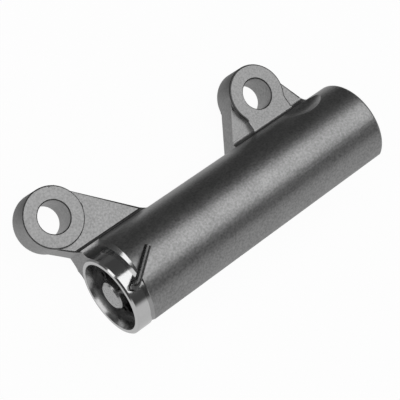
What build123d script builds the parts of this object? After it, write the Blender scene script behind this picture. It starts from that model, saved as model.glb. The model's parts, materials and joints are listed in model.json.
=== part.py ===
"""Hydraulic timing belt tensioner: a cast body with two bolt ears and a locked push rod.

The origin is the centre of the front bolt hole on the mounting face. +X runs from the
mouth to the closed end, +Y from the round body to the ears, and +Z away from the engine.
"""

import os
from math import asin, cos, degrees, hypot, radians, sin, sqrt, tan

from build123d import *

os.makedirs("parts", exist_ok=True)

# Place of the bore's axis from the front bolt hole and the mounting face
bore_offset = 25.5
bore_height = 9.5

# Casting: round body with a flat on its free side, turned mouth and closed end
mouth_x = 0.8
collar_length = 4.8
collar_radius = 11.5
body_length = 87.8
body_radius = 13.15
body_offset = 0.9
body_flat = 10.65
body_end_round = 1.0
end_wall = 4.6
mouth_chamfer = 0.25
mouth_inner_chamfer = 0.2
cutter_radius = 3.8
cutter_undercut = 0.1
cutter_stop_angle = 14.5
cutter_back_angle = 300.0
shoulder_rim_radius = 12.8

# Front ear
bolt_hole_radius = 4.5
front_boss_radius = 8.5
front_boss_height = 9.55
front_web_height = 8.5
front_arm_radius = 8.2
front_arm_lead_slope = 41.5
front_arm_tail_slope = 44.3
root_setback = 0.3
root_depth = 6.0
front_ear_blend = 3.6
front_blend_sink = 1.0
front_boss_round = 0.4
bolt_hole_chamfer = 0.3

# Rear ear
rear_hole_x = 72.6
rear_hole_y = -2.2
rear_boss_radius = 8.8
rear_boss_height = 8.7
rear_web_floor = 1.0
rear_web_height = 7.2
rear_web_radius = 8.3
rear_web_lead_slope = 59.0
rear_web_tail_slope = 66.0
rear_neck_width = 15.0
rear_neck_round = 3.0
rear_neck_blend = 1.0
rear_ear_blend = 1.5

# Bolt-head pocket in the round body beside the rear ear
pocket_x = 80.0
pocket_y = -1.0
pocket_radius = 13.2
pocket_round = 6.0

# Bores
mouth_bore_radius = 9.4
main_bore_radius = 9.0
groove_setback = 4.4
groove_depth = 0.75

# Snap ring, seal and bush, stacked from the groove inwards
snap_ring_thickness = 1.1
snap_ring_width = 1.3
snap_ring_gap = 9.0
snap_lug_radius = 1.5
snap_lug_hole_radius = 0.65
seal_length = 5.2
seal_case_wall = 0.7
seal_case_flange_radius = 5.6
seal_lip_thickness = 1.0
garter_wire_radius = 0.45
bush_length = 7.5
bush_groove_width = 2.0
bush_groove_depth = 1.2

# Push rod with its piston head
rod_radius = 4.0
rod_recess = 0.4
rod_chamfer = 0.5
rod_travel = 8.0
lock_hole_radius = 1.25
lock_hole_lead = 0.35
head_radius = 7.6
head_length = 8.0
wear_ring_width = 3.0
wear_ring_depth = 1.0
wear_ring_setback = 2.0
oil_way_radius = 1.2
cross_hole_radius = 1.0
cross_hole_setback = 3.0

# Reservoir piston and its spring, which takes a share of the room beside the piston
reservoir_spring_share = 0.66
reservoir_spring_wire = 0.7
reservoir_spring_turns = 3.5
reservoir_piston_length = 8.0
o_ring_section = 1.15
o_ring_groove_width = 1.5

# Check valve
valve_seat_radius = 3.2
valve_seat_length = 3.0
valve_hole_radius = 1.4
check_ball_radius = 2.0
cage_wall = 0.5
cage_inner_radius = 2.9
cage_length = 6.6
cage_window_width = 1.8
ball_spring_wire = 0.2
ball_spring_radius = 1.1
ball_spring_turns = 3

# Pressure chamber
sleeve_wall = 1.0
sleeve_lead = 4.0
disc_thickness = 1.0
return_spring_length = 20.5
return_spring_wire = 1.0
return_spring_radius = 6.0
return_spring_turns = 5

# Lock pin
pin_setback = 2.2
pin_radius = 0.9
pin_engagement = 1.5
pin_hole_clearance = 0.15
pin_bend_radius = 1.5
pin_rest_gap = 0.3
pin_leg_length = 11.0
pin_leg_angle = 38.7

# Fits
press_gap = 0.02
running_gap = 0.05
seat_gap = 0.05

# Places worked out from the sizes above
bore_y = -bore_offset
bore_z = bore_height
body_y = bore_y + body_offset
shoulder_x = mouth_x + collar_length
back_x = shoulder_x + body_length
bore_end_x = back_x - end_wall
groove_x = mouth_x + groove_setback
seal_x = groove_x + snap_ring_thickness
bush_x = seal_x + seal_length
step_x = bush_x + bush_length
disc_x = bore_end_x - disc_thickness
head_back_x = disc_x - return_spring_length - cage_wall
head_x = head_back_x - head_length
sleeve_x = head_x - rod_travel - sleeve_lead
rod_tip_x = mouth_x + rod_recess
pin_x = mouth_x + pin_setback
reservoir_spring_length = reservoir_spring_share * (sleeve_x - step_x - reservoir_piston_length)
reservoir_piston_x = step_x + reservoir_spring_length
sleeve_inner_radius = main_bore_radius - sleeve_wall

bore_axis = Axis((0, bore_y, bore_z), (1, 0, 0))
bore_section = Plane(origin=(0, bore_y, bore_z), x_dir=(1, 0, 0), z_dir=(0, -1, 0))


def along_bore(angle):
    """Plane through the bore's axis, with its own axes along +X and out at the angle from +Y."""
    turn = radians(angle)
    return Plane(origin=(0, bore_y, bore_z), x_dir=(1, 0, 0), z_dir=(0, -sin(turn), cos(turn)))


def across(x):
    """Plane across the bore at x, with its own axes along +Y and +Z."""
    return Plane(origin=(x, bore_y, bore_z), x_dir=(0, 1, 0), z_dir=(1, 0, 0))


def turned(outline, mode=Mode.ADD):
    """Turn an outline of (x, radius) points about the bore's axis."""
    with BuildSketch(bore_section) as profile:
        with BuildLine():
            Polyline(*outline, close=True)
        make_face()
    revolve(profile.sketch, axis=bore_axis, mode=mode)


def tube(x, length, outer, inner, mode=Mode.ADD):
    """Turn a plain ring that starts at x."""
    turned([(x, inner), (x + length, inner), (x + length, outer), (x, outer)], mode)


def torus_ring(x, radius, section_radius):
    """Turn a round ring of the given mean radius, centred at x."""
    with BuildSketch(bore_section) as profile:
        with Locations((x, radius)):
            Circle(section_radius)
    revolve(profile.sketch, axis=bore_axis)


def coil(x, length, mean_radius, wire_radius, turns):
    """Wind a round wire that just fills the length from x."""
    rise = length - 2 * wire_radius
    with BuildLine() as wind:
        Helix(rise / turns, rise, mean_radius, (x + wire_radius, bore_y, bore_z), (1, 0, 0))
    start = wind.edge()
    with BuildSketch(Plane(origin=start @ 0, z_dir=start % 0)) as wire:
        Circle(wire_radius)
    sweep(wire.sketch, path=wind.line, is_frenet=True)


def save(part, name):
    """Name a finished piece and write it."""
    part.label = name
    export_step(part, f"parts/{name}.step")


def web_outline(hole, radius, lead_slope, tail_slope, foot_y, root_x=None):
    """Plan of a web: two tangents of the circle round the hole, run down to the foot.

    A slope is the angle between a tangent and the row of holes. With root_x the leading
    tangent runs towards the body's middle as far as root_x, and a straight root follows.
    """
    lead = radians(lead_slope)
    tail = radians(tail_slope)
    tail_start = (hole[0] + radius * sin(tail), hole[1] + radius * cos(tail))
    tail_end = (tail_start[0] + (tail_start[1] - foot_y) / tan(tail), foot_y)
    if root_x is None:
        lead_start = (hole[0] - radius * sin(lead), hole[1] + radius * cos(lead))
        lead_end = (lead_start[0] - (lead_start[1] - foot_y) / tan(lead), foot_y)
        return [lead_start, lead_end, tail_end, tail_start]
    lead_start = (hole[0] - radius * sin(lead), hole[1] - radius * cos(lead))
    knee = (root_x, lead_start[1] - (root_x - lead_start[0]) * tan(lead))
    return [lead_start, knee, (root_x, foot_y), tail_end, tail_start]


def at_body_side(corner):
    """True where a section's corner lies on the round body, on its ear side."""
    off_centre = corner.X - body_offset
    return off_centre > 0 and abs(hypot(off_centre, corner.Y) - body_radius) < 0.01


def web_section(floor, height, reach, blend, sink=0):
    """Section across the bore: a web and its blends, in to the round body's middle.

    The blends run down to the web's level, or to a level sunk below its upper face.
    """
    with BuildSketch(across(0)) as section:
        with Locations((body_offset, 0)):
            Circle(body_radius)
        with Locations((body_offset, floor - bore_z)):
            Rectangle(reach, height - sink - floor, align=(Align.MIN, Align.MIN))
        fillet(section.vertices().filter_by(at_body_side), blend)
        with Locations((body_offset + body_radius, floor - bore_z)):
            Rectangle(reach, height - floor, align=(Align.MIN, Align.MIN))
        upper = asin((height - sink - bore_z + blend) / (body_radius + blend))
        lower = asin((floor - bore_z - blend) / (body_radius + blend))
        upper_end = (body_offset + body_radius * cos(upper), body_radius * sin(upper))
        lower_end = (body_offset + body_radius * cos(lower), body_radius * sin(lower))
        with BuildLine():
            Polyline(
                (body_offset, 0), upper_end, (upper_end[0], reach), (2 * reach, reach),
                (2 * reach, -reach), (lower_end[0], -reach), lower_end,
                close=True,
            )
        make_face(mode=Mode.INTERSECT)
    return section.sketch


# Front ear's arm: its plan, kept inside its blended section
ear_reach = bore_offset + 2 * max(front_boss_radius, rear_boss_radius)
with BuildPart() as front_arm:
    with BuildSketch(Plane.XY.offset(bore_z - body_radius)):
        Circle(front_arm_radius)
        with BuildLine():
            Polyline(
                *web_outline(
                    (0, 0), front_arm_radius, front_arm_lead_slope, front_arm_tail_slope,
                    bore_y + root_depth, mouth_x + root_setback,
                ),
                close=True,
            )
        make_face()
    extrude(amount=2 * body_radius)
    extrude(
        web_section(0, front_web_height, ear_reach, front_ear_blend, front_blend_sink),
        amount=back_x, both=True, mode=Mode.INTERSECT,
    )

# Front ear's boss, with its rim rounded
with BuildPart() as front_boss:
    with BuildSketch():
        Circle(front_boss_radius)
    extrude(amount=front_boss_height)
    fillet(front_boss.edges().group_by(Axis.Z)[-1], front_boss_round)

# Rear ear's web, thinner than its boss on both sides
with BuildPart() as rear_web:
    with BuildSketch(Plane.XY.offset(bore_z - body_radius)):
        with Locations((rear_hole_x, rear_hole_y)):
            Circle(rear_web_radius)
        with BuildLine():
            Polyline(
                *web_outline(
                    (rear_hole_x, rear_hole_y), rear_web_radius,
                    rear_web_lead_slope, rear_web_tail_slope, body_y,
                ),
                close=True,
            )
        make_face()
    extrude(amount=2 * body_radius)
    extrude(
        web_section(rear_web_floor, rear_web_height, ear_reach, rear_ear_blend),
        amount=back_x, both=True, mode=Mode.INTERSECT,
    )

# Rear ear's pad: a boss with a neck that runs down to the body and blends into it
with BuildPart() as rear_pad:
    with BuildSketch(Plane.XY.offset(rear_web_height / 2)) as pad_plan:
        with Locations((rear_hole_x, rear_hole_y)):
            Circle(rear_boss_radius)
            Rectangle(rear_neck_width, rear_hole_y - body_y, align=(Align.CENTER, Align.MAX))
        fillet(pad_plan.vertices().group_by(Axis.Y)[-1], rear_neck_round)
    extrude(amount=2 * body_radius)
    extrude(
        web_section(rear_web_height / 2, rear_boss_height, ear_reach, rear_neck_blend),
        amount=back_x, both=True, mode=Mode.INTERSECT,
    )
    with BuildSketch():
        with Locations((rear_hole_x, rear_hole_y)):
            Circle(rear_boss_radius)
    extrude(amount=rear_boss_height)

# Bolt-head pocket's cutter, with rounded lower edge
with BuildPart() as pocket_cutter:
    with BuildSketch(Plane.XY.offset(rear_boss_height)):
        with Locations((pocket_x, pocket_y)):
            Circle(pocket_radius)
    extrude(amount=2 * body_radius)
    fillet(pocket_cutter.edges().group_by(Axis.Z)[0], pocket_round)

# Housing: the casting with its turned mouth, bores and bolt ears
rim_reach = body_radius + body_offset + collar_radius - mouth_bore_radius
cutter_reach_angle = degrees(asin(cutter_radius / (collar_radius + cutter_radius)))
with BuildPart() as housing:
    with BuildSketch(across(mouth_x + root_setback)):
        with Locations((body_offset, 0)):
            Circle(body_radius)
        with Locations((-body_flat, 0)):
            Rectangle(body_radius, 2 * body_radius, align=(Align.MAX, Align.CENTER), mode=Mode.SUBTRACT)
    extrude(amount=back_x - mouth_x - root_setback)
    fillet(housing.edges().group_by(Axis.X)[-1], body_end_round)
    add([front_arm.part, front_boss.part])
    add([rear_web.part, rear_pad.part])
    add(pocket_cutter.part, mode=Mode.SUBTRACT)

    # Mouth collar, milled round from one side of the ear's root to the other
    with BuildSketch(across(mouth_x)):
        for path_radius, half_width in (
            (collar_radius + cutter_radius, cutter_radius),
            (collar_radius, cutter_undercut),
        ):
            SlotArc(
                Edge.make_circle(
                    path_radius, start_angle=cutter_stop_angle, end_angle=cutter_back_angle
                ),
                2 * half_width,
            )
    extrude(amount=collar_length, mode=Mode.SUBTRACT)
    with BuildSketch(along_bore(cutter_stop_angle - cutter_reach_angle)) as shoulder_rim:
        with BuildLine():
            Polyline(
                (shoulder_x, shoulder_rim_radius), (shoulder_x, rim_reach),
                (shoulder_x + rim_reach - shoulder_rim_radius, rim_reach),
                close=True,
            )
        make_face()
    revolve(
        shoulder_rim.sketch, axis=bore_axis,
        revolution_arc=cutter_back_angle - cutter_stop_angle + 2 * cutter_reach_angle,
        mode=Mode.SUBTRACT,
    )
    turned(
        [
            (mouth_x, mouth_bore_radius / 2),
            (mouth_x, collar_radius - mouth_chamfer),
            (mouth_x + mouth_chamfer, collar_radius),
            (shoulder_x, collar_radius),
            (shoulder_x, mouth_bore_radius / 2),
        ]
    )

    # Bore in two steps, with the snap ring's groove and a chamfered mouth
    turned(
        [
            (mouth_x, 0),
            (mouth_x, mouth_bore_radius + mouth_inner_chamfer),
            (mouth_x + mouth_inner_chamfer, mouth_bore_radius),
            (groove_x, mouth_bore_radius),
            (groove_x, mouth_bore_radius + groove_depth),
            (seal_x, mouth_bore_radius + groove_depth),
            (seal_x, mouth_bore_radius),
            (step_x, mouth_bore_radius),
            (step_x, main_bore_radius),
            (bore_end_x, main_bore_radius),
            (bore_end_x, 0),
        ],
        mode=Mode.SUBTRACT,
    )

    # Lock pin's hole through the collar, and the bolt holes
    with BuildSketch(Plane.XY.offset(bore_z)):
        with Locations((pin_x, bore_y)):
            Circle(pin_radius + pin_hole_clearance)
    extrude(amount=2 * body_radius, mode=Mode.SUBTRACT)
    with BuildSketch(Plane.XY):
        with Locations((0, 0), (rear_hole_x, rear_hole_y)):
            Circle(bolt_hole_radius)
    extrude(amount=2 * body_radius, both=True, mode=Mode.SUBTRACT)
    rim_radius = bolt_hole_radius + bolt_hole_chamfer
    with Locations((0, 0, front_boss_height), (rear_hole_x, rear_hole_y, rear_boss_height)):
        Cone(
            bolt_hole_radius, rim_radius, bolt_hole_chamfer,
            align=(Align.CENTER, Align.CENTER, Align.MAX), mode=Mode.SUBTRACT,
        )
    with Locations((0, 0), (rear_hole_x, rear_hole_y)):
        Cone(
            rim_radius, bolt_hole_radius, bolt_hole_chamfer,
            align=(Align.CENTER, Align.CENTER, Align.MIN), mode=Mode.SUBTRACT,
        )
save(housing.part, "housing")

# Snap ring: a sprung wire-cut ring with a gap and two eared ends
snap_outer = mouth_bore_radius + groove_depth - press_gap
snap_inner = snap_outer - groove_depth - snap_ring_width
lug_circle = snap_inner + snap_ring_width / 3
lug_angle = degrees((snap_ring_gap / 2 + snap_lug_radius) / lug_circle)
with BuildPart() as snap_ring:
    with BuildSketch(across(groove_x)):
        Circle(snap_outer)
        Circle(snap_inner, mode=Mode.SUBTRACT)
        with Locations((0, -snap_outer)):
            Rectangle(snap_ring_gap, snap_outer, mode=Mode.SUBTRACT)
        with PolarLocations(lug_circle, 2, -90 - lug_angle, 2 * lug_angle, endpoint=True):
            Circle(snap_lug_radius)
        with PolarLocations(lug_circle, 2, -90 - lug_angle, 2 * lug_angle, endpoint=True):
            Circle(snap_lug_hole_radius, mode=Mode.SUBTRACT)
    extrude(amount=snap_ring_thickness)
save(snap_ring.part, "snap_ring")

# Oil seal: pressed steel case, rubber lip and the garter spring round the lip
case_outer = mouth_bore_radius - press_gap
case_inner = case_outer - seal_case_wall
lip_inner = rod_radius + running_gap
lip_outer = lip_inner + seal_lip_thickness
garter_x = bush_x - seal_case_wall - 2 * garter_wire_radius
with BuildPart() as seal_case:
    turned(
        [
            (seal_x, seal_case_flange_radius),
            (seal_x + seal_case_wall, seal_case_flange_radius),
            (seal_x + seal_case_wall, case_inner),
            (bush_x, case_inner),
            (bush_x, case_outer),
            (seal_x, case_outer),
        ]
    )
    outer_rim = seal_case.edges().filter_by(GeomType.CIRCLE).group_by(Axis.X)[0].sort_by(SortBy.RADIUS)
    fillet(outer_rim[-1], seal_case_wall / 2)
save(seal_case.part, "seal_case")

with BuildPart() as seal_lip:
    turned(
        [
            (seal_x + seal_case_wall, case_inner - press_gap),
            (seal_x + seal_case_wall, seal_case_flange_radius),
            (seal_x, seal_case_flange_radius - press_gap),
            (seal_x, lip_inner + seal_lip_thickness / 2),
            (seal_x + seal_lip_thickness, lip_inner),
            (garter_x, lip_inner),
            (bush_x - seal_case_wall, lip_inner + seal_lip_thickness / 2),
            (bush_x - seal_case_wall, lip_outer),
            (seal_x + 2 * seal_lip_thickness, lip_outer),
            (seal_x + 2 * seal_lip_thickness, case_inner - press_gap),
        ]
    )
save(seal_lip.part, "seal_lip")

with BuildPart() as garter_spring:
    torus_ring(garter_x, lip_outer + garter_wire_radius, garter_wire_radius)
save(garter_spring.part, "garter_spring")

# Rod's guide bush, waisted between its two lands, against the step of the bore
with BuildPart() as rod_guide_bush:
    bush_middle = bush_x + bush_length / 2
    turned(
        [
            (bush_x, rod_radius + running_gap),
            (step_x, rod_radius + running_gap),
            (step_x, case_outer),
            (bush_middle + bush_groove_width / 2, case_outer),
            (bush_middle + bush_groove_width / 2, case_outer - bush_groove_depth),
            (bush_middle - bush_groove_width / 2, case_outer - bush_groove_depth),
            (bush_middle - bush_groove_width / 2, case_outer),
            (bush_x, case_outer),
        ]
    )
save(rod_guide_bush.part, "rod_guide_bush")

# Reservoir piston, ring-shaped, with an O-ring groove outside and inside
piston_outer = main_bore_radius - running_gap
piston_inner = rod_radius + running_gap
groove_start = reservoir_piston_x + (reservoir_piston_length - o_ring_groove_width) / 2
with BuildPart() as reservoir_piston:
    tube(reservoir_piston_x, reservoir_piston_length, piston_outer, piston_inner)
    tube(groove_start, o_ring_groove_width, main_bore_radius, piston_outer - o_ring_section, Mode.SUBTRACT)
    tube(groove_start, o_ring_groove_width, piston_inner + o_ring_section, rod_radius, Mode.SUBTRACT)
save(reservoir_piston.part, "reservoir_piston")

o_ring_x = groove_start + o_ring_groove_width / 2
o_ring_radius = o_ring_section / 2
with BuildPart() as reservoir_outer_ring:
    torus_ring(o_ring_x, piston_outer - o_ring_radius, o_ring_radius - press_gap)
save(reservoir_outer_ring.part, "reservoir_outer_ring")

with BuildPart() as reservoir_inner_ring:
    torus_ring(o_ring_x, piston_inner + o_ring_radius, o_ring_radius - press_gap)
save(reservoir_inner_ring.part, "reservoir_inner_ring")

with BuildPart() as reservoir_spring:
    coil(
        step_x + seat_gap, reservoir_spring_length - 2 * seat_gap,
        (piston_outer + piston_inner) / 2, reservoir_spring_wire, reservoir_spring_turns,
    )
save(reservoir_spring.part, "reservoir_spring")

# Push rod: one turned piece with its piston head, oil way and lock hole
seat_x = head_back_x - valve_seat_length
cross_hole_x = head_x - cross_hole_setback
oil_way_x = cross_hole_x - 2 * oil_way_radius
wear_groove_x = head_x + wear_ring_setback
with BuildPart() as push_rod:
    turned(
        [
            (rod_tip_x, 0),
            (rod_tip_x, rod_radius - rod_chamfer),
            (rod_tip_x + rod_chamfer, rod_radius),
            (head_x, rod_radius),
            (head_x, head_radius),
            (wear_groove_x, head_radius),
            (wear_groove_x, head_radius - wear_ring_depth),
            (wear_groove_x + wear_ring_width, head_radius - wear_ring_depth),
            (wear_groove_x + wear_ring_width, head_radius),
            (head_back_x, head_radius),
            (head_back_x, valve_seat_radius),
            (seat_x, valve_seat_radius),
            (seat_x, oil_way_radius),
            (oil_way_x, oil_way_radius),
            (oil_way_x, 0),
        ]
    )
    with BuildSketch(Plane.XY.offset(bore_z)):
        with Locations((cross_hole_x, bore_y)):
            Circle(cross_hole_radius)
    extrude(amount=2 * rod_radius, both=True, mode=Mode.SUBTRACT)
    with BuildSketch(Plane.XY.offset(bore_z + rod_radius - pin_engagement - seat_gap)):
        with Locations((pin_x + lock_hole_lead, bore_y)):
            Circle(lock_hole_radius)
    extrude(amount=2 * rod_radius, mode=Mode.SUBTRACT)
save(push_rod.part, "push_rod")

with BuildPart() as rod_wear_ring:
    tube(
        wear_groove_x + press_gap, wear_ring_width - 2 * press_gap,
        sleeve_inner_radius - running_gap, head_radius - wear_ring_depth + press_gap,
    )
save(rod_wear_ring.part, "rod_wear_ring")

# Check valve: seat, ball, spring and slotted cage
ball_x = head_back_x + sqrt(check_ball_radius**2 - valve_hole_radius**2) + seat_gap
with BuildPart() as valve_seat:
    tube(seat_x, valve_seat_length, valve_seat_radius - press_gap, valve_hole_radius)
save(valve_seat.part, "valve_seat")

with BuildPart() as check_ball:
    with Locations((ball_x, bore_y, bore_z)):
        Sphere(check_ball_radius)
save(check_ball.part, "check_ball")

cage_end_x = head_back_x + cage_length
with BuildPart() as ball_cage:
    turned(
        [
            (head_back_x, cage_inner_radius),
            (cage_end_x - cage_wall, cage_inner_radius),
            (cage_end_x - cage_wall, 0),
            (cage_end_x, 0),
            (cage_end_x, cage_inner_radius + cage_wall),
            (head_back_x + cage_wall, cage_inner_radius + cage_wall),
            (head_back_x + cage_wall, head_radius - wear_ring_depth),
            (head_back_x, head_radius - wear_ring_depth),
        ]
    )
    with BuildSketch(across(head_back_x + 2 * cage_wall)):
        with PolarLocations(0, 2, 0, 180):
            Rectangle(2 * head_radius, cage_window_width)
    extrude(amount=cage_length - 4 * cage_wall, mode=Mode.SUBTRACT)
save(ball_cage.part, "ball_cage")

with BuildPart() as ball_spring:
    ball_back_x = ball_x + sqrt(check_ball_radius**2 - (ball_spring_radius - ball_spring_wire) ** 2)
    coil(
        ball_back_x + seat_gap, cage_end_x - cage_wall - ball_back_x - 2 * seat_gap,
        ball_spring_radius, ball_spring_wire, ball_spring_turns,
    )
save(ball_spring.part, "ball_spring")

# Pressure chamber: steel sleeve, spring disc and the return spring
with BuildPart() as pressure_sleeve:
    tube(sleeve_x, bore_end_x - sleeve_x, main_bore_radius - press_gap, sleeve_inner_radius)
save(pressure_sleeve.part, "pressure_sleeve")

with BuildPart() as sleeve_spring_disc:
    tube(disc_x, disc_thickness, sleeve_inner_radius - press_gap, oil_way_radius)
save(sleeve_spring_disc.part, "sleeve_spring_disc")

with BuildPart() as return_spring:
    coil(
        head_back_x + cage_wall + seat_gap, return_spring_length - 2 * seat_gap,
        return_spring_radius, return_spring_wire, return_spring_turns,
    )
save(return_spring.part, "return_spring")

# Lock pin: bent wire, straight down through the collar into the rod's lock hole
pin_foot_z = bore_z + rod_radius - pin_engagement
pin_bend_z = bore_z + body_radius + pin_rest_gap + pin_radius
pin_leg_end = (
    pin_x + pin_leg_length * cos(radians(pin_leg_angle)),
    bore_y + pin_leg_length * sin(radians(pin_leg_angle)),
    pin_bend_z,
)
with BuildPart() as lock_pin:
    with BuildLine() as pin_path:
        FilletPolyline(
            (pin_x, bore_y, pin_foot_z), (pin_x, bore_y, pin_bend_z), pin_leg_end,
            radius=pin_bend_radius,
        )
    with BuildSketch(Plane.XY.offset(pin_foot_z)):
        with Locations((pin_x, bore_y)):
            Circle(pin_radius)
    sweep(path=pin_path.line)
save(lock_pin.part, "lock_pin")
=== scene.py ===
"""Studio scene of a hydraulic timing belt tensioner, laid out as a Blender add-on.

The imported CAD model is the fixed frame. The casting, the lock pin and the mouth's rings are
finished pieces that stand for their CAD nodes, and every other node gets its real finish.
All lengths are in metres. +X runs from the mouth to the closed end, +Y from the round body
to the ears, and +Z away from the engine.
"""

import json
import math

import bpy
from bpy.props import FloatProperty, FloatVectorProperty, PointerProperty
from mathutils import Euler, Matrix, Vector
from mathutils.kdtree import KDTree


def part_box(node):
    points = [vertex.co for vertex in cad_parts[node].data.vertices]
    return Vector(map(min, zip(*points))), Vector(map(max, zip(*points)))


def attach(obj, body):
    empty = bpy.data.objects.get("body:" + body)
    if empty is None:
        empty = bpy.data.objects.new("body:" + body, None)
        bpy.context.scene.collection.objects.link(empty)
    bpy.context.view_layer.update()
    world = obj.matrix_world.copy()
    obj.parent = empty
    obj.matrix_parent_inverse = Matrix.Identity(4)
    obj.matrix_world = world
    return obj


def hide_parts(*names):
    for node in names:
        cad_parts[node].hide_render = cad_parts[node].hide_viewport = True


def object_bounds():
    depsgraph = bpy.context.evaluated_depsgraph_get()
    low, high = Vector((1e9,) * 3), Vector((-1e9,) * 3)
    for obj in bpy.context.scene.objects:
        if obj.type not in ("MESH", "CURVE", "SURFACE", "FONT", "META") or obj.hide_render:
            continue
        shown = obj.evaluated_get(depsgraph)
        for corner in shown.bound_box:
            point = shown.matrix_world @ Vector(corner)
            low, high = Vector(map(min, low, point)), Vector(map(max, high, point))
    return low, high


bl_info = {
    "name": "Timing Belt Tensioner",
    "version": (1, 0, 0),
    "blender": (4, 5, 0),
    "location": "View3D > Sidebar > Tensioner",
    "description": "Finishes the hydraulic timing belt tensioner and builds its studio",
    "category": "Object",
}

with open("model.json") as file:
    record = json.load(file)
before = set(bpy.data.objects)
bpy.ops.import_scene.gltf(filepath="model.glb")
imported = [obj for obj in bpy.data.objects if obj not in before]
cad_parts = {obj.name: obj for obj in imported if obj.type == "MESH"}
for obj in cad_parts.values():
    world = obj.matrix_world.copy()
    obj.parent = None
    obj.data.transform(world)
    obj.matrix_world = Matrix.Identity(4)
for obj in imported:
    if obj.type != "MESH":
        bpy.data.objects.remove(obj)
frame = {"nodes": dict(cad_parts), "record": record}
cad_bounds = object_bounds()
MM = 0.001

# Places read from the CAD model and its record
MOUNTS = {mount["name"]: Vector(mount["pos_m"]) for mount in frame["record"]["mounts"]}
FRONT_HOLE = MOUNTS["front_bolt_hole"]
REAR_HOLE = MOUNTS["rear_bolt_hole"]
SEAT_HEIGHTS = (MOUNTS["front_bolt_seat"].z, MOUNTS["rear_bolt_seat"].z)
ROD_LOW, ROD_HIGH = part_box("push_rod")
BORE_AXIS = Vector((0.0, (ROD_LOW.y + ROD_HIGH.y) / 2, (ROD_LOW.z + ROD_HIGH.z) / 2))
ALONG_BORE = (0.0, math.radians(90.0), 0.0)
LIP_END_X = ROD_LOW.x
SHOULDER_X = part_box("snap_ring")[0].x + 0.4 * MM
MILLED_END_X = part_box("snap_ring")[0].x + 2.0 * MM

# Heights of the casting's level faces, and of those whose outer edges get a painted shade line
FRONT_WEB_HEIGHT = 8.5 * MM
REAR_WEB_HEIGHT = 7.2 * MM
MILLED_HEIGHTS = (*SEAT_HEIGHTS, 0.0, REAR_WEB_HEIGHT)
SHADE_LINE_HEIGHTS = (*SEAT_HEIGHTS, FRONT_WEB_HEIGHT, REAR_WEB_HEIGHT)
SAME_HEIGHT = 0.02 * MM
SHADE_LINE_BAND = 0.45 * MM

# Reaches from the bore's axis that tell the rings of the mouth apart
BORE_LIP = 9.5 * MM
BORE_REACH = 10.3 * MM
RIM_REACH = 11.4 * MM
COLLAR_REACH = 11.6 * MM
MILLED_REACH = 13.6 * MM
EAR_REACH = 15.5 * MM
LOOP_BAND = 0.35 * MM
LIP_SCALE = 1.05
RIM_SCALE = 0.984
PIN_ROOM = 1.4 * MM
HOLE_ROOM = 6.0 * MM
NEAR = 0.1 * MM
BY_EAR = 0.7

# Modelling limits: lengths, folds in degrees and cosines
MERGE_REACH = 0.001 * MM
SAME_POINT = 0.002 * MM
OUTER_FOLD = 35.0
SHARP_FOLD = 60.0
LEVEL = 0.9999
NEARLY_LEVEL = 0.99
SAME_FACING = 0.9
WIRE_SIDES = 24
BEND_STEPS = 10

# Noise values between which a colour runs from dark to light, and waves in one unit of scale
NOISE_LOW, NOISE_HIGH = 0.3, 0.7
WAVES_IN_SCALE = 20

# Studio: lengths, shares of white and angles from the zenith toward the ears
LAMP_DISTANCE = 0.6
SOFTBOX_LENGTH = 1.6
SOFTBOX_SHIFT = 0.1
SIDE_LIGHT_SIZE = 0.3
SIDE_LIGHT_TOWARD = Vector((-0.75, 0.6, 0.12)).normalized()
FLOOR_SIZE = 6.0
FLOOR_IN_METAL = 0.68
FAR_FLOOR = 0.1
SHADE_REACH = 0.02
PALE_WALL = 0.7
ROOM_DARK = 0.07
WALL_TOP = math.radians(-60.0)
DARK_FROM = math.radians(-48.0)


# Selecting and editing


def deselect_all():
    """Leave edit mode and deselect every object."""
    if bpy.context.object and bpy.context.object.mode != "OBJECT":
        bpy.ops.object.mode_set(mode="OBJECT")
    bpy.ops.object.select_all(action="DESELECT")


def make_active(piece):
    """Make one piece the only selected object."""
    deselect_all()
    bpy.context.view_layer.objects.active = piece
    piece.select_set(True)


def merged_copy(node, name):
    """A copy of a CAD node's mesh with its doubled points merged, as a piece of its own."""
    deselect_all()
    source = frame["nodes"][node]
    piece = bpy.data.objects.new(name, source.data.copy())
    bpy.context.collection.objects.link(piece)
    piece.data.name = name
    piece.data.materials.clear()
    make_active(piece)
    bpy.ops.mesh.customdata_custom_splitnormals_clear()
    bpy.ops.object.mode_set(mode="EDIT")
    bpy.ops.mesh.select_all(action="SELECT")
    bpy.ops.mesh.remove_doubles(threshold=MERGE_REACH)
    bpy.ops.mesh.dissolve_limited(angle_limit=math.radians(0.5))
    bpy.ops.object.mode_set(mode="OBJECT")
    return piece


def select_edges(piece, wanted):
    """Select just the edges that wanted(edge) names, and return how many there are."""
    make_active(piece)
    bpy.ops.object.mode_set(mode="EDIT")
    bpy.ops.mesh.select_mode(type="EDGE")
    bpy.ops.mesh.select_all(action="DESELECT")
    bpy.ops.object.mode_set(mode="OBJECT")
    chosen = [edge for edge in piece.data.edges if wanted(edge)]
    for edge in chosen:
        edge.select = True
    bpy.ops.object.mode_set(mode="EDIT")
    return len(chosen)


def edge_table(mesh):
    """For each edge of a mesh: its middle, its fold in degrees and whether it stands out."""
    faces_of = {}
    for face in mesh.polygons:
        for key in face.edge_keys:
            faces_of.setdefault(key, []).append(face)
    table = {}
    for edge in mesh.edges:
        pair = faces_of.get(edge.key, [])
        if len(pair) != 2:
            continue
        one, other = pair
        middle = (mesh.vertices[edge.vertices[0]].co + mesh.vertices[edge.vertices[1]].co) / 2
        fold = math.degrees(one.normal.angle(other.normal, 0.0))
        stands_out = one.normal.dot(other.center - one.center) < 0
        table[edge.index] = (middle, fold, stands_out)
    return table


def bevel_edges(piece, wanted, width):
    """Round the edges that wanted(edge) names."""
    if not select_edges(piece, wanted):
        raise RuntimeError(f"{piece.name} has no edges to round")
    bpy.ops.mesh.bevel(offset=width, segments=2, affect="EDGES")
    bpy.ops.object.mode_set(mode="OBJECT")


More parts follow.
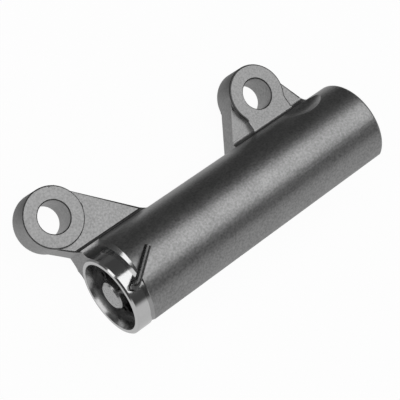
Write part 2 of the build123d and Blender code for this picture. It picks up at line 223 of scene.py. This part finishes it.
def bevel_sharp_edges(piece, width):
    """Round every edge with a sharp fold."""
    edges = edge_table(piece.data)
    bevel_edges(
        piece, lambda edge: edge.index in edges and edges[edge.index][1] > SHARP_FOLD, width
    )


def smooth_by_angle(piece, degrees=32.0):
    """Shade a piece smooth, with its sharper folds left as edges and its flats left flat."""
    make_active(piece)
    bpy.ops.object.shade_smooth_by_angle(angle=math.radians(degrees))
    level = {}
    for face in piece.data.polygons:
        for key in face.edge_keys:
            level.setdefault(key, []).append(abs(face.normal.z) > LEVEL)
    for edge in piece.data.edges:
        if len(set(level.get(edge.key, ()))) == 2:
            edge.use_edge_sharp = True
    bpy.ops.object.modifier_add(type="WEIGHTED_NORMAL")
    weighting = piece.modifiers[-1]
    weighting.keep_sharp = True
    bpy.ops.object.modifier_apply(modifier=weighting.name)


def keep_true_normals(piece, node):
    """Give each corner that a piece still shares with its CAD node the node's own normal."""
    source, mesh = frame["nodes"][node].data, piece.data
    points = KDTree(len(source.vertices))
    for point in source.vertices:
        points.insert(point.co, point.index)
    points.balance()
    known = {}
    for face in source.polygons:
        for loop in face.loop_indices:
            pair = (face.normal.copy(), source.corner_normals[loop].vector.copy())
            known.setdefault(source.loops[loop].vertex_index, []).append(pair)
    normals = [corner.vector.copy() for corner in mesh.corner_normals]
    for face in mesh.polygons:
        for loop in face.loop_indices:
            place = mesh.vertices[mesh.loops[loop].vertex_index].co
            near = points.find_range(place, SAME_POINT)
            pairs = [pair for _, index, _ in near for pair in known.get(index, ())]
            if pairs:
                facing, normal = max(pairs, key=lambda pair: pair[0].dot(face.normal))
                if facing.dot(face.normal) > SAME_FACING:
                    normals[loop] = normal
    mesh.normals_split_custom_set(normals)


# Materials


class NodeWork:
    """A node tree that is wired up step by step."""

    def __init__(self, tree):
        self.nodes = tree.nodes
        self.link = tree.links.new

    def node(self, kind, **settings):
        """A new node with its own settings, such as its operation."""
        node = self.nodes.new(kind)
        for name, value in settings.items():
            setattr(node, name, value)
        return node

    def feed(self, value, socket):
        """Give a socket a value of its own or another node's result."""
        if isinstance(value, bpy.types.NodeSocket):
            self.link(value, socket)
        else:
            socket.default_value = value

    def math(self, operation, first, second):
        """Result of a sum on two sockets, or on a socket and a number."""
        node = self.node("ShaderNodeMath", operation=operation)
        self.feed(first, node.inputs[0])
        self.feed(second, node.inputs[1])
        return node.outputs["Value"]

    def between(self, factor, low, high, start=0.0, end=1.0, easing="LINEAR"):
        """A value that runs from low to high as the factor runs from start to end."""
        ramp = self.node("ShaderNodeMapRange", interpolation_type=easing)
        names = ("Value", "From Min", "From Max", "To Min", "To Max")
        for name, value in zip(names, (factor, start, end, low, high)):
            self.feed(value, ramp.inputs[name])
        return ramp.outputs["Result"]

    def axes(self, place):
        """The X, Y and Z of a place or direction, as sockets."""
        split = self.node("ShaderNodeSeparateXYZ")
        self.link(place, split.inputs["Vector"])
        return split.outputs

    def seen(self, rays):
        """1 for a ray that shows the background itself, straight or through glass."""
        return self.math("MAXIMUM", rays["Is Camera Ray"], rays["Is Transmission Ray"])


class Finish(NodeWork):
    """A node material on Object coordinates."""

    def __init__(self, name, **sockets):
        self.material = bpy.data.materials.new(name)
        self.material.use_nodes = True
        super().__init__(self.material.node_tree)
        self.shader = self.nodes["Principled BSDF"]
        self.place = self.node("ShaderNodeTexCoord").outputs["Object"]
        for socket, value in sockets.items():
            self.shader.inputs[socket.replace("_", " ")].default_value = value

    def noise(self, grain, detail=3.0):
        """Noise whose grain is that long."""
        noise = self.node("ShaderNodeTexNoise")
        noise.inputs["Scale"].default_value = 1.0 / grain
        noise.inputs["Detail"].default_value = detail
        self.link(self.place, noise.inputs["Vector"])
        return noise.outputs["Fac"]

    def rings(self, pitch, centre, turn, wobble):
        """Tool marks: rings of that pitch about the turned Z axis through a centre."""
        mapping = self.node("ShaderNodeMapping", vector_type="TEXTURE")
        mapping.inputs["Location"].default_value = centre
        mapping.inputs["Rotation"].default_value = turn
        self.link(self.place, mapping.inputs["Vector"])
        wave = self.node("ShaderNodeTexWave", wave_type="RINGS", rings_direction="Z")
        wave.inputs["Scale"].default_value = 1.0 / (WAVES_IN_SCALE * pitch)
        wave.inputs["Distortion"].default_value = wobble
        wave.inputs["Detail"].default_value = 1.0
        self.link(mapping.outputs["Vector"], wave.inputs["Vector"])
        return wave.outputs["Fac"]

    def tone(self, factor, dark, light):
        """A colour that runs from a dark to a light one as the factor rises."""
        ramp = self.node("ShaderNodeValToRGB")
        ends = ((NOISE_LOW, dark), (NOISE_HIGH, light))
        for stop, (position, colour) in zip(ramp.color_ramp.elements, ends):
            stop.position = position
            stop.color = (*colour, 1.0)
        self.link(factor, ramp.inputs["Fac"])
        self.link(ramp.outputs["Color"], self.shader.inputs["Base Color"])

    def roughness(self, factor, low, high):
        """Roughness that varies with a factor."""
        self.link(self.between(factor, low, high), self.shader.inputs["Roughness"])

    def bump(self, factor, depth, strength):
        """Relief of that depth, on top of any relief set before."""
        bump = self.node("ShaderNodeBump")
        bump.inputs["Strength"].default_value = strength
        bump.inputs["Distance"].default_value = depth
        self.link(factor, bump.inputs["Height"])
        target = self.shader.inputs["Normal"]
        if target.is_linked:
            self.link(target.links[0].from_socket, bump.inputs["Normal"])
        self.link(bump.outputs["Normal"], target)


def grey(value):
    """A neutral colour."""
    return (value, value, value)


def grained(name, grain, detail, tones, roughness, relief, **sockets):
    """Material whose colour, roughness and relief all follow one fine grain."""
    finish = Finish(name, **sockets)
    noise = finish.noise(grain, detail)
    finish.tone(noise, *tones)
    finish.roughness(noise, *roughness)
    finish.bump(noise, *relief)
    return finish.material


def blasted_casting(tone):
    """Shot-blasted die casting: satin grey with fine grain."""
    finish = Finish("blasted_casting", Metallic=1.0)
    grain = finish.noise(0.6 * MM)
    cloud = finish.noise(7.0 * MM, 2.0)
    mixed = finish.math(
        "ADD", finish.math("MULTIPLY", grain, 0.8), finish.math("MULTIPLY", cloud, 0.2)
    )
    finish.tone(mixed, grey(tone * 0.72), grey(tone * 1.28))
    finish.roughness(grain, 0.32, 0.45)
    finish.bump(grain, 0.05 * MM, 0.6)
    return finish.material


def milled_face(tone, hole):
    """Face milled flat round a bolt hole, with faint cutter rings."""
    finish = Finish("milled_face", Metallic=1.0)
    rings = finish.rings(0.5 * MM, hole, (0.0, 0.0, 0.0), 3.0)
    grain = finish.noise(0.55 * MM)
    finish.tone(grain, grey(tone * 0.79), grey(tone * 1.21))
    finish.roughness(grain, 0.34, 0.46)
    finish.bump(rings, 0.004 * MM, 0.5)
    finish.bump(grain, 0.012 * MM, 0.4)
    return finish.material


def turned_face(name, tone, rough):
    """Aluminium turned on the bore's axis: bright, with fine rings."""
    finish = Finish(name, Metallic=1.0)
    rings = finish.rings(0.22 * MM, BORE_AXIS, ALONG_BORE, 0.5)
    finish.tone(finish.noise(0.3 * MM, 2.0), grey(tone * 0.97), grey(tone * 1.03))
    finish.roughness(rings, rough * 0.8, rough * 1.2)
    finish.bump(rings, 0.002 * MM, 0.4)
    return finish.material


def bore_wall(tone):
    """Bored wall with coarser rings, in a darker grey than the turned mouth."""
    finish = Finish("bore_wall", Metallic=0.8)
    rings = finish.rings(0.5 * MM, BORE_AXIS, ALONG_BORE, 0.5)
    finish.tone(finish.noise(0.6 * MM), grey(tone * 1.1), grey(tone * 1.5))
    finish.roughness(rings, 0.2, 0.34)
    finish.bump(rings, 0.02 * MM, 0.6)
    return finish.material


def steel(name, tone, rough, pitch=0.25 * MM):
    """Steel with fine rings about the bore, for turned, ground and drawn pieces."""
    finish = Finish(name, Metallic=1.0)
    grain = finish.noise(0.5 * MM)
    finish.tone(grain, grey(tone * 0.9), grey(tone * 1.08))
    finish.roughness(grain, rough * 0.85, rough * 1.15)
    finish.bump(finish.rings(pitch, BORE_AXIS, ALONG_BORE, 1.0), 0.003 * MM, 0.6)
    return finish.material


def milled_wall(tone):
    """Wall that the side of a cutter has left beside the mouth."""
    return grained(
        "milled_wall", 0.5 * MM, 3.0, tones=(grey(tone * 0.7), grey(tone)),
        roughness=(0.3, 0.42), relief=(0.01 * MM, 0.4), Metallic=1.0,
    )


def painted_shade_edge(tone):
    """Small step round a milled face, painted dark as a line of shade where the faces meet."""
    return grained(
        "painted_shade_edge", 0.4 * MM, 3.0, tones=(grey(tone * 0.24), grey(tone * 0.4)),
        roughness=(0.45, 0.6), relief=(0.02 * MM, 0.5), Metallic=0.8,
    )


def oiled_wire(tone):
    """Dark oiled spring wire with specks."""
    return grained(
        "oiled_wire", 0.5 * MM, 4.0, tones=(grey(tone * 0.75), grey(tone * 1.3)),
        roughness=(0.2, 0.36), relief=(0.01 * MM, 0.5), Metallic=1.0,
    )


def nitrile_rubber():
    """Matt black rubber with a fine moulded grain."""
    return grained(
        "nitrile_rubber", 0.25 * MM, 3.0, tones=(grey(0.012), grey(0.024)),
        roughness=(0.5, 0.7), relief=(0.01 * MM, 0.5), Specular_IOR_Level=0.4,
    )


def sintered_bronze():
    """Sintered bronze with open pores."""
    return grained(
        "sintered_bronze", 0.18 * MM, 2.0, tones=((0.24, 0.15, 0.07), (0.46, 0.3, 0.15)),
        roughness=(0.35, 0.55), relief=(0.02 * MM, 0.6), Metallic=1.0,
    )


def filled_plastic():
    """Low-friction plastic with a speckled filler."""
    return grained(
        "filled_plastic", 0.2 * MM, 4.0, tones=((0.3, 0.26, 0.2), (0.5, 0.45, 0.36)),
        roughness=(0.45, 0.6), relief=(0.008 * MM, 0.4),
    )


def put_on(piece, *materials):
    """Give a piece its materials, in the order of its slots."""
    piece.data.materials.clear()
    for material in materials:
        piece.data.materials.append(material)


def finish_nodes(material, *names):
    """Put one material on CAD nodes whose shape is already right."""
    for name in names:
        for slot in frame["nodes"][name].material_slots:
            slot.material = material


# Sizes and colours that a user would change


class CastingSettings(bpy.types.PropertyGroup):
    """Edges and tone of the casting."""

    edge_round: FloatProperty(
        name="Edge round", description="Round on the casting's outer edges",
        default=0.45 * MM, min=0.0, unit="LENGTH",
    )
    lead_in: FloatProperty(
        name="Lead-in", description="Extra length of the taper inside the mouth",
        default=2.2 * MM, min=0.0, unit="LENGTH",
    )
    rim_growth: FloatProperty(
        name="Rim growth", description="Extra width of the chamfer outside the mouth",
        default=0.18 * MM, min=0.0, unit="LENGTH",
    )
    tone: FloatProperty(
        name="Casting tone", description="Grey of the blasted skin", default=0.3, min=0.0, max=1.0
    )
    face_tone: FloatProperty(
        name="Face tone", description="Grey of the milled bolt faces", default=0.3,
        min=0.0, max=1.0,
    )
    collar_tone: FloatProperty(
        name="Collar tone", description="Grey of the turned mouth", default=0.6, min=0.0, max=1.0
    )


class PinSettings(bpy.types.PropertyGroup):
    """Sizes of the lock pin's wire."""

    bend_radius: FloatProperty(
        name="Bend radius", description="Radius of the wire's middle line in the bend",
        default=1.5 * MM, min=0.0, unit="LENGTH",
    )
    leg_angle: FloatProperty(
        name="Leg angle", description="Angle of the leg from the body's length",
        default=math.radians(38.7), subtype="ANGLE",
    )
    end_chamfer: FloatProperty(
        name="End chamfer", description="Chamfer on the wire's cut ends",
        default=0.15 * MM, min=0.0, unit="LENGTH",
    )
    tone: FloatProperty(
        name="Wire tone", description="Grey of the oiled wire", default=0.1, min=0.0, max=1.0
    )


class MouthSettings(bpy.types.PropertyGroup):
    """Finishes of the rod and the rings in the mouth."""

    rod_tone: FloatProperty(
        name="Rod tone", description="Grey of the ground rod", default=0.44, min=0.0, max=1.0
    )
    ring_edge: FloatProperty(
        name="Ring edge", description="Edge round of the snap ring",
        default=0.12 * MM, min=0.0, unit="LENGTH",
    )


class StageSettings(bpy.types.PropertyGroup):
    """Camera, lamps and floor."""

    camera_place: FloatVectorProperty(
        name="Camera place", description="Where the camera stands",
        default=(-0.11588, 0.00762, 0.31298), subtype="TRANSLATION", unit="LENGTH",
    )
    camera_turn: FloatVectorProperty(
        name="Camera turn", description="The camera's rotation",
        default=[math.radians(angle) for angle in (11.886, -24.707, -36.124)], subtype="EULER",
    )
    focal_length: FloatProperty(
        name="Focal length", description="In millimetres on a 36 mm sensor",
        default=112.25, min=1.0,
    )
    softbox_strength: FloatProperty(
        name="Softbox", description="Radiance of the large lamp overhead", default=1.45, min=0.0
    )
    softbox_tip: FloatProperty(
        name="Softbox tip", description="Angle of the softbox from the zenith toward the ears",
        default=math.radians(10.0), subtype="ANGLE",
    )
    softbox_spread: FloatProperty(
        name="Softbox spread", description="Angle that the softbox's width takes up",
        default=math.radians(52.0), subtype="ANGLE",
    )
    floor_white: FloatProperty(
        name="Floor white", description="Share of plain white in the floor", default=0.96,
        min=0.0, max=1.0,
    )


# Operators, one for each piece or group of like pieces


class TENSIONER_OT_casting(bpy.types.Operator):
    """Build the casting with its rounded edges and machined faces."""

    bl_idname = "tensioner.casting"
    bl_label = "Casting"

    def execute(self, context):
        sizes = context.scene.tensioner_casting
        casting = merged_copy("housing", "casting")
        edges = edge_table(casting.data)
        halfway = (FRONT_HOLE.x + REAR_HOLE.x) / 2

        def outer_edge(edge):
            if edge.index not in edges:
                return False
            middle, fold, stands_out = edges[edge.index]
            at_body = middle.y < BORE_AXIS.y + EAR_REACH
            hole = FRONT_HOLE if middle.x < halfway else REAR_HOLE
            at_hole = (middle - hole).xy.length < HOLE_ROOM
            return fold > OUTER_FOLD and stands_out and not at_body and not at_hole

        self.shape_mouth(casting, sizes)
        bevel_edges(casting, outer_edge, sizes.edge_round)
        smooth_by_angle(casting)
        keep_true_normals(casting, "housing")
        finishes = {
            "blasted": blasted_casting(sizes.tone),
            "milled": milled_face(sizes.face_tone, FRONT_HOLE),
            "turned": turned_face("turned_face", sizes.collar_tone, 0.13),
            "bored": bore_wall(sizes.tone),
            # step: the bevels round the level faces, painted dark as a line of shade
            "step": painted_shade_edge(sizes.tone),
            "wall": milled_wall(sizes.tone),
            "lead_in": turned_face("lead_in_face", sizes.collar_tone * 0.8, 0.26),
        }
        put_on(casting, *finishes.values())
        slots = list(finishes)
        for face in casting.data.polygons:
            face.material_index = slots.index(self.finish_of(casting, face, sizes.lead_in))
        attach(casting, "body")
        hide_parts("housing")
        return {"FINISHED"}

    @staticmethod
    def shape_mouth(casting, sizes):
        """Stretch the mouth's small chamfers: a lead-in taper inside and a wider rim outside."""
        # For each loop of points: least and greatest reach, move along X, scale, room at the pin
        loops = (
            (BORE_LIP, BORE_LIP + LOOP_BAND, 0.0, LIP_SCALE, 0.0),
            (BORE_LIP - LOOP_BAND, BORE_LIP, sizes.lead_in, 1.0, PIN_ROOM),
            (RIM_REACH - LOOP_BAND, RIM_REACH, 0.0, RIM_SCALE, 0.0),
            (RIM_REACH, RIM_REACH + LOOP_BAND, sizes.rim_growth, 1.0, 0.0),
        )
        make_active(casting)
        bpy.ops.object.mode_set(mode="EDIT")
        bpy.ops.mesh.select_mode(type="VERT")
        for low, high, shift, scale, room in loops:
            bpy.ops.mesh.select_all(action="DESELECT")
            bpy.ops.object.mode_set(mode="OBJECT")
            for point in casting.data.vertices:
                place = point.co - BORE_AXIS
                in_loop = place.x < LIP_END_X and low < place.yz.length < high
                at_pin = place.z > 0.0 and abs(place.y) < room
                point.select = in_loop and not at_pin
            bpy.ops.object.mode_set(mode="EDIT")
            bpy.ops.transform.translate(value=(shift, 0.0, 0.0))
            bpy.ops.transform.resize(value=(1.0, scale, scale), center_override=BORE_AXIS)
        bpy.ops.object.mode_set(mode="OBJECT")

    @staticmethod
    def finish_of(casting, face, lead_in):
        """Name a face's finish by its place and its normal."""
        place, normal = face.center, face.normal
        corners = [casting.data.vertices[index].co - BORE_AXIS for index in face.vertices]
        reach = max(corner.yz.length for corner in corners)
        if reach < BORE_REACH:
            in_taper = place.x < LIP_END_X + lead_in and -0.5 < normal.x < -0.1
            return "lead_in" if in_taper else "bored"
        level = abs(normal.z) > NEARLY_LEVEL
        at_mouth = place.x < SHOULDER_X + NEAR and reach < MILLED_REACH
        at_shoulder = normal.x < -0.5 and SHOULDER_X < place.x + NEAR < MILLED_END_X
        by_ear = place.y - BORE_AXIS.y > BY_EAR * reach
        if (at_shoulder and not by_ear) or (at_mouth and reach < COLLAR_REACH):
            return "turned"
        if (at_shoulder or at_mouth) and not level:
            return "wall"
        if level and any(abs(place.z - height) < SAME_HEIGHT for height in MILLED_HEIGHTS):
            return "milled"
        # Sloping bevels just under these heights get the painted shade line
        slopes = 0.1 < normal.z < 0.97
        if slopes and any(0 < height - place.z < SHADE_LINE_BAND for height in SHADE_LINE_HEIGHTS):
            return "step"
        return "blasted"


class TENSIONER_OT_lock_pin(bpy.types.Operator):
    """Bend the lock pin from a straight wire: extrude it, spin the bend and extrude the leg."""

    bl_idname = "tensioner.lock_pin"
    bl_label = "Lock pin"

    def execute(self, context):
        sizes = context.scene.tensioner_pin
        low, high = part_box("lock_pin")
        radius = BORE_AXIS.y - low.y
        foot = Vector((low.x + radius, BORE_AXIS.y, low.z))
        straight = high.z - radius - sizes.bend_radius - foot.z
        along = Vector((math.cos(sizes.leg_angle), math.sin(sizes.leg_angle), 0.0))
        leg_end = (high.x - radius * along.y - foot.x) / along.x
        deselect_all()
        bpy.ops.mesh.primitive_circle_add(
            vertices=WIRE_SIDES, radius=radius, fill_type="NGON", location=foot
        )
        pin = bpy.context.object
        pin.name = pin.data.name = "pin_wire"
        bpy.ops.object.transform_apply(location=True, rotation=True, scale=True)
        bpy.ops.object.mode_set(mode="EDIT")
        bpy.ops.mesh.select_mode(type="FACE")
        bpy.ops.mesh.select_all(action="SELECT")
        bpy.ops.mesh.extrude_region_move(TRANSFORM_OT_translate={"value": (0, 0, straight)})
        bend_centre = foot + Vector((0, 0, straight)) + along * sizes.bend_radius
        bpy.ops.mesh.spin(
            steps=BEND_STEPS, angle=math.radians(90), center=bend_centre,
            axis=(along.y, -along.x, 0),
        )
        bpy.ops.mesh.extrude_region_move(
            TRANSFORM_OT_translate={"value": along * (leg_end - sizes.bend_radius)}
        )
        bpy.ops.mesh.select_all(action="SELECT")
        bpy.ops.mesh.remove_doubles(threshold=MERGE_REACH)
        bpy.ops.mesh.normals_make_consistent(inside=False)
        bpy.ops.object.mode_set(mode="OBJECT")
        bevel_sharp_edges(pin, sizes.end_chamfer)
        smooth_by_angle(pin)
        put_on(pin, oiled_wire(sizes.tone))
        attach(pin, "pin")
        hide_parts("lock_pin")
        return {"FINISHED"}


class TENSIONER_OT_mouth(bpy.types.Operator):
    """Finish the push rod's end and the snap ring and seal round it."""

    bl_idname = "tensioner.mouth"
    bl_label = "Mouth and rod"

    def execute(self, context):
        sizes = context.scene.tensioner_mouth
        ring = merged_copy("snap_ring", "ring_clip")
        bevel_sharp_edges(ring, sizes.ring_edge)
        smooth_by_angle(ring)
        keep_true_normals(ring, "snap_ring")
        put_on(ring, steel("snap_ring_steel", 0.05, 0.4))
        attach(ring, "body")
        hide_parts("snap_ring")
        finish_nodes(steel("rod_steel", sizes.rod_tone, 0.28), "push_rod")
        finish_nodes(steel("case_steel", 0.07, 0.45), "seal_case")
        finish_nodes(nitrile_rubber(), "seal_lip", "reservoir_outer_ring", "reservoir_inner_ring")
        return {"FINISHED"}


class TENSIONER_OT_inner_works(bpy.types.Operator):
    """Finish the springs, the valve and the pistons inside the body."""

    bl_idname = "tensioner.inner_works"
    bl_label = "Inner works"

    def execute(self, context):
        finish_nodes(
            steel("spring_wire", 0.3, 0.32, pitch=0.15 * MM),
            "return_spring", "reservoir_spring", "ball_spring", "garter_spring",
        )
        finish_nodes(
            steel("ground_steel", 0.52, 0.22, pitch=0.12 * MM),
            "pressure_sleeve", "valve_seat", "check_ball", "sleeve_spring_disc",
            "reservoir_piston",
        )
        finish_nodes(steel("pressed_steel", 0.4, 0.36), "ball_cage")
        finish_nodes(sintered_bronze(), "rod_guide_bush")
        finish_nodes(filled_plastic(), "rod_wear_ring")
        return {"FINISHED"}


class TENSIONER_OT_stage(bpy.types.Operator):
    """Set up the pale floor, the soft lamps, the world and the camera."""

    bl_idname = "tensioner.stage"
    bl_label = "Stage"

    def execute(self, context):
        sizes = context.scene.tensioner_stage
        context.scene.view_settings.view_transform = "Standard"
        low, high = cad_bounds
        self.centre = (low + high) / 2
        self.add_floor(low.z, sizes.floor_white)
        self.add_softbox(sizes)
        self.add_side_light(sizes)
        self.add_world(context.scene)
        self.add_camera(context.scene, sizes)
        return {"FINISHED"}

    def add_floor(self, height, white):
        """Pale floor that keeps a faint shadow and runs into shade beyond the ears."""
        deselect_all()
        bpy.ops.mesh.primitive_plane_add(
            size=FLOOR_SIZE, location=(self.centre.x, self.centre.y, height - 0.02 * MM)
        )
        floor = bpy.context.object
        floor.name = floor.data.name = "floor"
        bpy.ops.object.transform_apply(location=True, rotation=True, scale=True)
        finish = Finish("pale_floor", Base_Color=(0.86, 0.86, 0.86, 1.0), Roughness=0.9)
        rays = finish.node("ShaderNodeLightPath").outputs
        in_metal = finish.between(
            finish.axes(finish.place)["Y"], FLOOR_IN_METAL, FAR_FLOOR,
            end=SHADE_REACH, easing="SMOOTHSTEP",
        )
        plain = finish.node("ShaderNodeEmission")
        plain.inputs["Color"].default_value = (1.0, 1.0, 1.0, 1.0)
        strength = finish.between(rays["Is Glossy Ray"], 1.0, in_metal)
        finish.link(strength, plain.inputs["Strength"])
        part_seen = finish.math("MULTIPLY", finish.seen(rays), white)
        mix = finish.node("ShaderNodeMixShader")
        finish.link(finish.math("MAXIMUM", part_seen, rays["Is Glossy Ray"]), mix.inputs["Fac"])
        finish.link(finish.shader.outputs["BSDF"], mix.inputs[1])
        finish.link(plain.outputs["Emission"], mix.inputs[2])
        finish.link(mix.outputs["Shader"], finish.nodes["Material Output"].inputs["Surface"])
        put_on(floor, finish.material)

    def add_lamp(self, name, toward, turn, size, strength):
        """Rectangular lamp of a set radiance, in one direction from the part's middle."""
        deselect_all()
        bpy.ops.object.light_add(
            type="AREA", location=self.centre + toward * LAMP_DISTANCE, rotation=turn
        )
        lamp = bpy.context.object
        lamp.name = name
        lamp.data.shape = "RECTANGLE"
        lamp.data.size, lamp.data.size_y = size
        lamp.data.energy = strength * math.pi * size[0] * size[1]
        return lamp

    def add_softbox(self, sizes):
        """Long softbox overhead, tipped toward the ears."""
        tip = sizes.softbox_tip
        width = 2 * LAMP_DISTANCE * math.tan(sizes.softbox_spread / 2)
        self.add_lamp(
            "softbox", Vector((SOFTBOX_SHIFT, math.sin(tip), math.cos(tip))), (-tip, 0.0, 0.0),
            (SOFTBOX_LENGTH, width), sizes.softbox_strength,
        )

    def add_side_light(self, sizes):
        """Small softbox low beside the mouth, which lights the turned edges."""
        turn = (-SIDE_LIGHT_TOWARD).to_track_quat("-Z", "Y").to_euler()
        lamp = self.add_lamp(
            "side_light", SIDE_LIGHT_TOWARD, turn,
            (SIDE_LIGHT_SIZE, SIDE_LIGHT_SIZE), sizes.softbox_strength,
        )
        lamp.visible_camera = False

    def add_world(self, scene):
        """Soft room: white behind the object, dark above, with a pale wall on the free side."""
        world = bpy.data.worlds.new("studio")
        world.use_nodes = True
        scene.world = world
        room = NodeWork(world.node_tree)
        toward = room.axes(room.node("ShaderNodeTexCoord").outputs["Generated"])
        from_zenith = room.math("ARCTAN2", toward["Y"], toward["Z"])
        walls = room.between(from_zenith, PALE_WALL, ROOM_DARK, WALL_TOP, DARK_FROM)
        seen = room.seen(room.node("ShaderNodeLightPath").outputs)
        level = room.math("MAXIMUM", walls, seen)
        room.link(level, room.nodes["Background"].inputs["Color"])

    def add_camera(self, scene, sizes):
        """Camera at the photograph's angle."""
        deselect_all()
        bpy.ops.object.camera_add(
            location=sizes.camera_place, rotation=Euler(sizes.camera_turn)
        )
        camera = bpy.context.object
        camera.name = "camera"
        camera.data.lens = sizes.focal_length
        camera.data.sensor_width = 36.0
        camera.data.clip_start = 0.01
        scene.camera = camera


class TENSIONER_PT_panel(bpy.types.Panel):
    """Sizes, tones and the build steps."""

    bl_idname = "TENSIONER_PT_panel"
    bl_label = "Timing Belt Tensioner"
    bl_space_type = "VIEW_3D"
    bl_region_type = "UI"
    bl_category = "Tensioner"

    def draw(self, context):
        for operator, settings in STEPS:
            box = self.layout.box()
            box.operator(operator.bl_idname)
            if settings:
                group = getattr(context.scene, settings)
                for name in group.bl_rna.properties.keys():
                    if name not in ("rna_type", "name"):
                        box.prop(group, name)


STEPS = (
    (TENSIONER_OT_casting, "tensioner_casting"),
    (TENSIONER_OT_lock_pin, "tensioner_pin"),
    (TENSIONER_OT_mouth, "tensioner_mouth"),
    (TENSIONER_OT_inner_works, None),
    (TENSIONER_OT_stage, "tensioner_stage"),
)
GROUPS = {
    "tensioner_casting": CastingSettings,
    "tensioner_pin": PinSettings,
    "tensioner_mouth": MouthSettings,
    "tensioner_stage": StageSettings,
}


def register():
    """Register the settings, the operators and the panel."""
    for name, group in GROUPS.items():
        bpy.utils.register_class(group)
        setattr(bpy.types.Scene, name, PointerProperty(type=group))
    for operator, _ in STEPS:
        bpy.utils.register_class(operator)
    bpy.utils.register_class(TENSIONER_PT_panel)


def unregister():
    """Take the panel, the operators and the settings away again."""
    bpy.utils.unregister_class(TENSIONER_PT_panel)
    for operator, _ in reversed(STEPS):
        bpy.utils.unregister_class(operator)
    for name, group in GROUPS.items():
        delattr(bpy.types.Scene, name)
        bpy.utils.unregister_class(group)


def main():
    """Build every piece and the stage."""
    register()
    for operator, _ in STEPS:
        group, name = operator.bl_idname.split(".")
        getattr(getattr(bpy.ops, group), name)()
    deselect_all()


if __name__ == "__main__":
    main()
